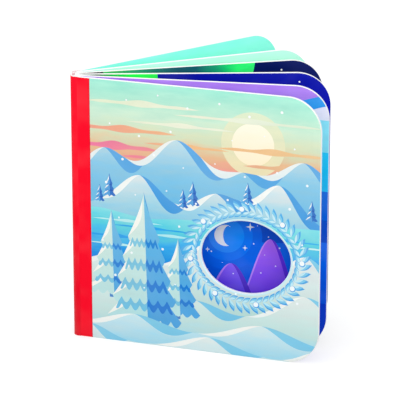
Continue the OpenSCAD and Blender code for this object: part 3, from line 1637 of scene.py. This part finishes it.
    def cover(self) -> Picture:
        """Design the outside of the front cover.

        Returns:
            The design.
        """
        picture = Picture(wash_down("sky", self.sizes.height, 108, MINT, MINT_LIGHT, PALE_GREEN, CREAM, PEACH,
                                    CORAL, wander=4))
        self.sky(picture)
        self.hills(picture)
        self.lake(picture)
        picture.drift("back_drift", Ridge(47, ((22, 7, 18), (84, 21, 25), (138, 18, 16))), SNOW,
                      (214, 230, 228), MINT_SHADE)
        picture.drift("middle_drift", Ridge(22, ((16, 15, 22), (72, 9, 20), (138, 19, 24))),
                      (226, 235, 232), (196, 226, 222), (140, 208, 230))
        self.wreath(picture)
        picture.plant(self.fir, Fir(20, 31, 50, 29), Fir(61, 22, 46, 27), Fir(40, 16, 78, 46, 5, 7))
        picture.drift("near_drift", Ridge(9, ((34, 9, 24), (112, 11, 26))), (214, 236, 238),
                      (150, 212, 234), LIGHT_BLUE)
        picture.drift("front_drift", Ridge(0, ((6, 9, 16), (80, 9, 22), (146, 8, 14))), (226, 238, 236),
                      (170, 220, 232), (96, 186, 228))
        picture.paint(self.flake, *scatter(46, (12, 26), (130, 128), 0.85))
        self.band(picture)
        return picture

    def back(self) -> Picture:
        """Design the outside of the back cover: open sky over plain drifts with firs.

        Returns:
            The design.
        """
        picture = Picture(wash_down("back_sky", self.sizes.height, 40, MINT, MINT_LIGHT, PALE_GREEN, CREAM,
                                    wander=4))
        cream = wash_out("back_cloud", 0, SHEET_L, (226, 240, 216), (238, 242, 222))
        picture.streaks(cream, (20, 100, 132, 4.5), (70, 150, 121, 4), (2, 62, 104, 4))
        picture.drift("back_far_drift", Ridge(40, ((30, 16, 24), (104, 22, 28))), (214, 232, 232),
                      (168, 212, 230), (140, 200, 228))
        picture.drift("back_near_drift", Ridge(18, ((66, 18, 28), (140, 12, 22))), (232, 237, 234), ICE,
                      (140, 206, 232))
        picture.plant(self.fir, Fir(92, 32, 40, 20), Fir(110, 27, 54, 26), Fir(30, 28, 34, 17))
        picture.drift("back_front_drift", Ridge(4, ((36, 15, 26), (112, 13, 26))), SNOW, ICE, LIGHT_BLUE)
        picture.paint(self.flake, *scatter(36, (12, 40), (130, 112), 0.85))
        self.band(picture)
        return picture

    def evening(self, key: str, shift: float, *firs: Fir) -> Picture:
        """Design an evening page: violet sky, snowy hills and a deep blue valley with firs.

        Args:
            key: start of the names of its inks.
            shift: how far its hills lie towards the fore edge.
            *firs: its firs, from the farthest to the nearest.

        Returns:
            The design.
        """
        picture = Picture(wash_down(key + "_sky", SHEET_H, 146, VIOLET, (184, 142, 236)))
        lines = (
            ("blue_hill", 147.2, 0, ((150, 7.5, 22), (40 + shift, 3, 24)),
             ((60, 158, 233), (66, 168, 236))),
            ("snow_hill", 140.3, 0, ((150, 8, 20), (92, 3, 24)), ((236, 234, 246), (226, 228, 238))),
            ("pale_slope", 139.9, 1, ((60 + shift, 4, 30),), ((150, 234, 246), (134, 230, 244))),
            ("cyan_slope", 120.5, 1, ((30 + shift, 6, 30), (118, 2, 20)),
             ((34, 212, 250), (28, 200, 246))),
            ("blue_slope", 97.5, 1.2, ((80 + shift, 4, 30),), ((10, 122, 232), (8, 104, 222))),
            ("deep_slope", 80, 1, ((30 + shift, 4, 30),), ((4, 88, 208), (0, 78, 204))),
            ("valley", 64, 0, ((142, 2, 14),), ((0, 112, 240), (0, 104, 234), (0, 88, 220))),
            ("valley_floor", 29, 1, ((60 + shift, 3, 30),), ((0, 64, 204), (0, 54, 192))),
        )
        for name, base, swell, hills, colours in lines:
            ridge = Ridge(base, hills, swell)
            crest = ridge.crest()
            picture.paint(wash_down(f"{key}_{name}", crest, crest - 24, *colours), ridge.body())
        picture.plant(self.night_fir, *firs)
        return picture

    def inside(self) -> Picture:
        """Design the inside of the front cover: the evening valley with firs on both its sides.

        Returns:
            The design.
        """
        return self.evening("inside", 30, Fir(112, 96, 26, 14), Fir(18, 62, 30, 16), Fir(48, 58, 32, 17),
                            Fir(33, 46, 50, 26), Fir(58, 28, 36, 19), Fir(16, 22, 44, 23))

    def window_page(self) -> Picture:
        """Design the page that shows through the window: violet hills, a moon and stars over the valley.

        Returns:
            The design.
        """
        picture = self.evening("page", 0, Fir(44, 60, 24, 13), Fir(12, 56, 34, 18), Fir(27, 50, 42, 22))
        glows = (("far_glow", 21, 21, ((0, 106, 236), (0, 100, 232))),
                 ("mid_glow", 15.5, 17, ((0, 122, 246), (4, 114, 242))),
                 ("near_glow", 10.5, 13, ((20, 146, 255), (26, 134, 252))))
        moon = wash_down("moon", 76, 58, WHITE, (232, 238, 250), mottle=CALM)
        far = Ridge(-8, ((113, 74, 18.5), (64, 52, 20), (16, 40, 22)))
        near = Ridge(-10, ((90, 60, 20), (40, 46, 20)))
        violet = wash_down("violet_hill", 68, 24, (182, 112, 246), (138, 84, 240), (112, 66, 234))
        grape = wash_down("grape_hill", 54, 16, (148, 104, 252), (104, 70, 240), (72, 44, 216))
        shade = wash_down("grape_shade", 68, 20, (112, 62, 226), (60, 30, 190))
        light = wash_down("grape_light", 68, 30, (214, 150, 252), (168, 122, 252))
        moon_z = 67
        for name, radius, reach, colours in glows:
            picture.paint(wash_down(name, moon_z + reach, moon_z - reach, *colours),
                          disc(87, moon_z, radius))
        picture.paint(moon, crescent(86.5, moon_z, 6.5, 0.55))
        for ridge, ink in ((far, violet), (near, grape)):
            picture.hill_line(ridge, ink, (1, shade, 9, 1.2), (-1, light, 3, 1.1))
        picture.stars(self.flake, (77, 74, 1.8), (101, 73, 2.6), (76, 58, 1.5), (98, 60, 1.6))
        picture.paint(self.flake, *scatter(30, (20, 40), (110, 40), 0.5))
        return picture

    def night(self, key: str, glow: Outline, glow_ink: Ink, sky: tuple[Rgb, ...], star: float) -> Picture:
        """Design a night page: a green glow, stars and dark hills.

        Args:
            key: start of the names of its inks.
            glow: outline of the glow.
            glow_ink: its ink.
            sky: colours of the sky from top to bottom.
            star: place of the star beside the head.

        Returns:
            The design.
        """
        picture = Picture(wash_down(key + "_sky", SHEET_H, 40, *sky))
        picture.paint(glow_ink, glow)
        picture.paint(self.flake, *scatter(34, (64, 70), (78, 76), 0.55))
        picture.paint(self.flake, disc(star, 153.6, 0.55, FLAKE_STEPS))
        picture.stars(self.flake, (70, 132, 2.6), (112, 139, 2), (98, 108, 2.4), (132, 118, 1.8))
        lines = ((Ridge(46, ((34, 16, 24), (104, 22, 26))), (20, 90, 190)),
                 (Ridge(22, ((70, 18, 28), (140, 14, 20))), (40, 130, 214)))
        for i, (ridge, crest) in enumerate(lines):
            shade = wash_down(f"{key}_hill_shade_{i}", 68, 0, (4, 44, 140), (4, 24, 100))
            picture.hill_line(ridge, wash_down(f"{key}_hill_{i}", 68, 0, crest, (6, 40, 130)),
                              (1, shade, 7, 1.6))
        return picture

    def curtain(self, head: float, foot: float, wave: float) -> Outline:
        """Outline a hanging curtain of light that starts behind the root.

        Args:
            head: place of its far edge at the head.
            foot: place of its far edge at the foot.
            wave: how far its edges sway.

        Returns:
            The outline.
        """
        low, high, behind = 60, self.sizes.height + 2, -4

        def edge(top: float, bottom: float, z: float) -> Point:
            """Give a place on an edge at one height."""
            share = (high - z) / (high - low)
            return top + (bottom - top) * share + wave * math.sin(2.2 * math.pi * share), z

        heights = span(low, high, 40)
        far = [edge(head, foot, z) for z in heights]
        near = [edge(behind, behind, z) for z in reversed(heights)]
        return (*far, *near)

    def morning(self, key: str, sky: tuple[Rgb, ...], hill: tuple[Rgb, ...]) -> Picture:
        """Design a morning page: a light sky with a sun over two lines of hills with firs.

        Args:
            key: start of the names of its inks.
            sky: colours of the sky from top to bottom.
            hill: colours of the hills from the crest down.

        Returns:
            The design.
        """
        picture = Picture(wash_down(key + "_sky", SHEET_H, 50, *sky))
        cloud = wash_out(key + "_cloud", 0, SHEET_L, (226, 252, 244), (240, 254, 250))
        halo = wash_down(key + "_halo", 120, 80, (216, 252, 232), (236, 250, 222))
        sun = wash_down(key + "_sun", 112, 88, (255, 252, 232), (255, 244, 216), mottle=CALM)
        picture.paint(halo, disc(98, 100, 19))
        picture.paint(sun, disc(98, 100, 12))
        picture.streaks(cloud, (18, 90, 118, 4), (74, 140, 104, 3.6), (30, 104, 90, 3.2))
        picture.drift(key + "_far", Ridge(44, ((40, 20, 26), (112, 15, 24))), *hill)
        picture.drift(key + "_near", Ridge(20, ((86, 18, 30),)), SNOW, ICE, hill[-1])
        for x, height in ((24, 30), (36, 40), (124, 34)):
            picture.plant(self.fir, Fir(x, 20, height, width=height * 0.56))
        picture.paint(self.flake, *scatter(40, (10, 34), (128, 96), 0.8))
        return picture

    def end_page(self) -> Picture:
        """Design the inside of the back cover."""
        return self.morning("aqua", (AQUA, (146, 251, 231), (170, 250, 236)),
                            ((236, 250, 246), (190, 240, 236), (120, 220, 226)))

    def pages(self) -> list[tuple[Picture, Picture]]:
        """Design both faces of each inner leaf.

        Returns:
            The front and the back face of each leaf, from front to back.
        """
        size, green = self.sizes, GREEN_LIGHT
        # From the root this ink runs grey and then near-black before it turns green: painted shade of the
        # gutter, then the printed glow.
        first_glow_and_gutter_shade = wash_out("first_glow_and_gutter_shade", 0, 52, (130, 150, 160), (24, 96, 70), (36, 205, 84), green, green,
                              (44, 250, 92), mottle=0.03, wander=2)
        wide_glow = wash_out("wide_glow", 10, 106, (66, 200, 100), (52, 186, 96), (38, 161, 110),
                             (14, 126, 108), (4, 87, 105), (4, 92, 106), (16, 160, 116), (44, 250, 122),
                             (52, 255, 128), wander=2)
        # Near-black strip along the root of the second night pages: painted shade of the deep gutter between
        # the leaves.
        gutter_shade = wash_out("painted_gutter_shade", 0, size.gutter_shade_w, (20, 22, 30), (4, 6, 16), mottle=CALM, wander=1)
        bare = wash_down("glue_strip", size.height, 0, WHITE, (246, 246, 244), mottle=CALM)
        first = (self.curtain(45.6, 30, 4), first_glow_and_gutter_shade, (NIGHT, (8, 20, 190), (8, 24, 200), (4, 30, 160)))
        second = (self.curtain(105.2, 66, 3), wide_glow, ((0, 20, 94), (4, 22, 110), (4, 30, 124)))
        mint = (((188, 248, 226), (184, 250, 228), (206, 250, 238)),
                ((240, 250, 246), (200, 242, 234), (140, 222, 226)))
        aqua = ((AQUA, (146, 251, 231), (172, 250, 236)), ((236, 250, 246), (186, 240, 236), (116, 218, 226)))
        second_left = self.night("second_left", *second, 124)
        second_right = self.night("second_right", *second, 120.7)
        pages = [(self.window_page(), self.night("first_left", *first, 88)),
                 (self.night("first_right", *first, 127.7), second_left),
                 (second_right, self.morning("mint_left", *mint)),
                 (self.morning("mint_right", *mint), self.morning("aqua_left", *aqua))]
        # Lay the painted gutter shade over the root of the second night pages.
        for picture in (second_left, second_right):
            self.strip(picture, gutter_shade, size.gutter_shade_w)
        for picture in (each for page in pages for each in page):
            self.strip(picture, bare, size.glue_strip)
        return pages

    @staticmethod
    def gutter(side: Side) -> Ink:
        """Mix the ink of the paper in a gutter, which follows the page beside it.

        Args:
            side: the cover that the gutter is next to.

        Returns:
            The ink.
        """
        if side is Side.FRONT:
            return wash_down("evening_gutter", SHEET_H, 0, VIOLET, (200, 215, 242), (142, 232, 245),
                             (31, 206, 248), (28, 190, 246), (9, 112, 226), (2, 84, 206), (0, 104, 234),
                             (0, 98, 228), (0, 64, 204), (0, 56, 196), (0, 54, 192))
        return wash_down("aqua_gutter", SHEET_H, 0, AQUA, (172, 250, 236), (190, 236, 236))


@dataclass
class BoardBook:
    """The whole book: two covers, four inner leaves, the spine and the folds between them.

    Attributes:
        sizes: sizes of the book.
        designs: what is printed on its faces.
    """

    sizes: BookSizes
    designs: Designs

    def hinge(self, side: Side) -> Point:
        """Give the place of a cover's crease line in plan, in millimetres."""
        joint = next(each for each in frame["joints"] if each["child"] == side.body)
        return joint["pos_m"][0] / MM, joint["pos_m"][1] / MM

    def cover(self, side: Side) -> Board:
        """Set out one cover board.

        Args:
            side: which cover.

        Returns:
            The board.
        """
        size, designs, gap = self.sizes, self.designs, self.sizes.crease_gap / 2
        reach = (gap, size.leaf_l)
        if side is Side.FRONT:
            return Board("front_board", size, self.hinge(side), size.front_angle, reach,
                         (gap, gap + size.leaf_t), designs.cover(), designs.inside(), designs.red, 0, True)
        return Board("back_board", size, self.hinge(side), size.back_angle, reach,
                     (-gap - size.leaf_t, -gap), designs.end_page(), designs.back(), designs.red, 1)

    def leaves(self) -> list[Board]:
        """Set out the inner leaves.

        Returns:
            The leaves from front to back.
        """
        size = self.sizes
        middle = (len(size.leaf_angles) - 1) / 2
        reach, faces = (-size.root_in, size.leaf_l), (-size.leaf_t / 2, size.leaf_t / 2)
        found = []
        for i, (angle, pages) in enumerate(zip(size.leaf_angles, self.designs.pages())):
            root = (0.0, (i - middle) * size.root_pitch)
            found.append(Board(f"leaf_{i + 1}", size, root, angle, reach, faces, *pages))
        return found

    def folds(self, side: Side, cover: Board, leaf: Board) -> list[Fold]:
        """Set out the film over one crease and the paper in the gutter behind it.

        Args:
            side: which cover they run to.
            cover: that cover.
            leaf: the inner leaf beside it.

        Returns:
            The two folds.
        """
        size, gap = self.sizes, self.sizes.crease_gap / 2
        rim_y = size.heel_w / 2 + math.sqrt(size.spine_r ** 2 - gap ** 2)
        on_spine = Vector((-gap - size.film_lap, side.sign * rim_y))
        on_cover = cover.point(gap + size.film_lap, side.facing(cover.faces)).to_2d()
        on_leaf = leaf.point(size.paper_on_leaf, side.facing(leaf.faces)).to_2d()
        in_cover = cover.point(size.paper_on_cover, side.turned_from(cover.faces)).to_2d()
        film = Fold(f"{side.body}_crease", side, on_spine, on_cover, size.film_t, size.height,
                    size.fold_ease, self.designs.red, Face.LINE, "spine_wrap")
        paper = Fold(f"{side.body}_gutter", side, on_leaf, in_cover, size.paper_t,
                     size.height - size.head_gap, size.fold_ease, self.designs.gutter(side), Face.FAR,
                     "page_block")
        return [film, paper]

    def build(self) -> None:
        """Build every piece of the book in order."""
        covers = {side: self.cover(side) for side in Side}
        leaves = self.leaves()
        for side, board in covers.items():
            enlist(board.build(), side.body, f"{side.body}_cover")
        for leaf in leaves:
            enlist(leaf.build(), "block", "page_block")
        spine = Spine(self.sizes, self.designs.red)
        spine.wrap()
        spine.heel()
        for side, leaf in ((Side.FRONT, leaves[0]), (Side.BACK, leaves[-1])):
            for fold in self.folds(side, covers[side], leaf):
                fold.build()


@dataclass(frozen=True)
class Lamp:
    """One large soft lamp, in metres and watts."""

    name: str
    place: tuple[float, float, float]
    size: float
    power: float


@dataclass(frozen=True)
class Studio:
    """Pale floor, soft light and the camera.

    Attributes:
        aim: place that the camera and the lamps look at, in metres.
        elevation: height of the camera above the floor line, in degrees.
        distance: distance of the camera in metres.
        lens: focal length in millimetres.
        sensor: width of the camera's sensor in millimetres.
        sight: how far the camera sees, in metres.
        ambient: strength of the even light from all round.
        floor_glow: share of the floor's white that doesn't depend on the light.
        floor_tone: share of the light that the floor gives back.
        floor_half: half the width of the floor in metres.
        lamps: the lamps.
    """

    aim: tuple[float, float, float] = (0.0704, 0.0087, 0.0792)
    elevation: float = 18.62
    distance: float = 1.6
    lens: float = 245.2
    sensor: float = 36.0
    sight: float = 50.0
    ambient: float = 0.86
    floor_glow: float = 0.62
    floor_tone: float = 0.45
    floor_half: float = 6.0
    lamps: tuple[Lamp, ...] = (
        Lamp("key_lamp", (0.5, -1.6, 0.9), 1.0, 12.0),
        Lamp("fill_lamp", (-1.0, -1.2, 1.1), 1.3, 4.0),
        Lamp("back_lamp", (-0.2, 1.6, 1.1), 1.4, 8.0),
    )

    def camera(self) -> None:
        """Place the camera in front of the book and above it."""
        data = bpy.data.cameras.new("camera")
        data.lens = self.lens
        data.sensor_width = self.sensor
        data.clip_end = self.sight
        made = add_object("camera", data)
        turn = math.radians(self.elevation)
        made.location = Vector(self.aim) + self.distance * Vector((0.0, -math.cos(turn), math.sin(turn)))
        made.rotation_euler = (math.pi / 2 - turn, 0.0, 0.0)
        bpy.context.scene.camera = made

    @staticmethod
    def seen_directly(graph: Graph) -> bpy.types.NodeSocket:
        """Tell apart the rays that show the background from those that light the book.

        Args:
            graph: nodes of the background's material or world.

        Returns:
            The socket, 1 for rays from the camera and from mirror or clear surfaces, else 0.
        """
        path = graph.node("ShaderNodeLightPath").outputs
        either = graph.math("MAXIMUM", path["Is Camera Ray"], path["Is Glossy Ray"])
        return graph.math("MAXIMUM", either, path["Is Transmission Ray"])

    def world(self) -> None:
        """Light the book evenly from all round before a white background."""
        world = bpy.data.worlds.new("studio")
        bpy.context.scene.world = world
        graph = Graph(world)
        strength = graph.node("ShaderNodeMapRange", {
            "Value": self.seen_directly(graph), "To Min": self.ambient, "To Max": 1.0}).outputs[0]
        shade = graph.node("ShaderNodeBackground", {"Color": (1.0, 1.0, 1.0, 1.0), "Strength": strength})
        graph.node("ShaderNodeOutputWorld", {"Surface": shade.outputs[0]})

    def floor(self) -> None:
        """Lay a pale floor that keeps the book's shadow."""
        mesh = bpy.data.meshes.new("floor")
        half = self.floor_half
        corners = [(-half, -half, 0.0), (half, -half, 0.0), (half, half, 0.0), (-half, half, 0.0)]
        mesh.from_pydata(corners, [], [(0, 1, 2, 3)])
        material = bpy.data.materials.new("pale_floor")
        graph = Graph(material)
        glow = graph.math("MULTIPLY", self.seen_directly(graph), self.floor_glow)
        light = graph.node("ShaderNodeEmission", {"Color": (1.0, 1.0, 1.0, 1.0), "Strength": glow})
        matt = graph.node("ShaderNodeBsdfDiffuse", {"Color": (*[self.floor_tone] * 3, 1.0)})
        both = graph.node("ShaderNodeAddShader", {0: light.outputs[0], 1: matt.outputs[0]})
        graph.node("ShaderNodeOutputMaterial", {"Surface": both.outputs[0]})
        mesh.materials.append(material)
        made = add_object("floor", mesh)

    def light(self) -> None:
        """Hang the lamps and turn them towards the book."""
        for lamp in self.lamps:
            data = bpy.data.lights.new(lamp.name, "AREA")
            data.size = lamp.size
            data.energy = lamp.power
            made = add_object(lamp.name, data)
            made.location = lamp.place
            made.rotation_euler = (Vector(self.aim) - Vector(lamp.place)).to_track_quat("-Z", "Y").to_euler()

    def set_up(self) -> None:
        """Make the camera, the world, the floor and the lamps."""
        self.camera()
        self.world()
        self.floor()
        self.light()
        bpy.context.scene.view_settings.view_transform = "Standard"


def main() -> None:
    """Build the book and the studio."""
    logging.basicConfig(level=logging.INFO, format="%(name)s %(message)s")
    sizes = BookSizes(height=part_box("front_cover")[1].z / MM)
    BoardBook(sizes, Designs(sizes)).build()
    Studio().set_up()


if __name__ == "__main__":
    main()
